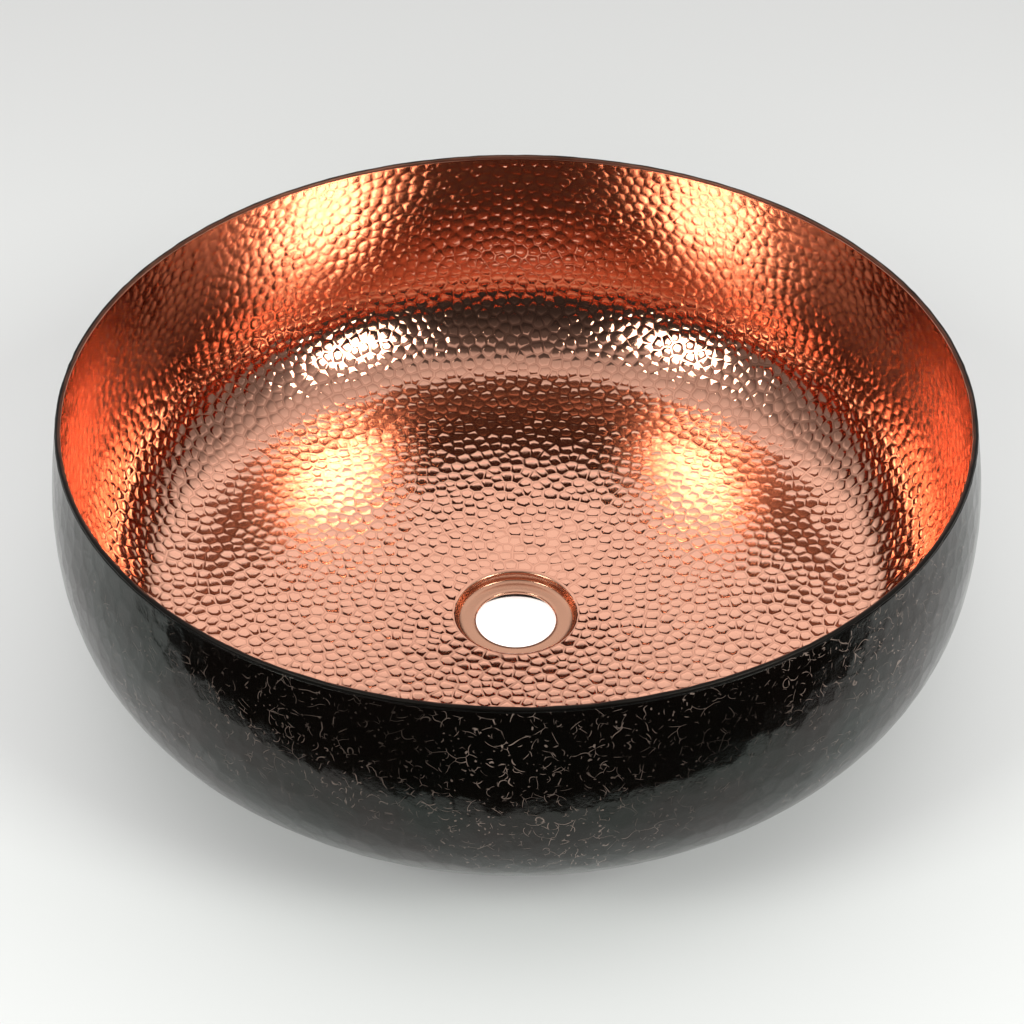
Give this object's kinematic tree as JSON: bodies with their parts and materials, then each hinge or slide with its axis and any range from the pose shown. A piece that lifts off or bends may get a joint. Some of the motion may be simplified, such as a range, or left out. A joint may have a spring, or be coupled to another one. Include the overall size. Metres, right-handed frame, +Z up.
{
  "type": "double-walled hammered copper vessel basin",
  "caption": "Round double-walled copper vessel basin: hammered bright inside, dark patinated outside, rod rim and a recessed drain hole.",
  "frame": {"origin": "centre of the flat underside, on the surface that the basin stands on", "axes": "+Z up along the bowl's axis of revolution; X and Y are any two directions across it"},
  "size_m": [0.4136, 0.4136, 0.15],
  "materials": {
    "bright_copper": "hammered, polished and lacquered copper sheet",
    "dark_patina": "black-brown patina on planished copper, waxed, with fine crackle",
    "rim_copper": "hammered rod, darkened and rubbed back on the inner side",
    "plain_copper": "as-turned copper, tarnished"
  },
  "bodies": {
    "root": {"inner_basin": "bright_copper", "outer_shell": "dark_patina", "rim_bead": "rim_copper", "drain_collar": "plain_copper"}
  },
  "joints": []
}
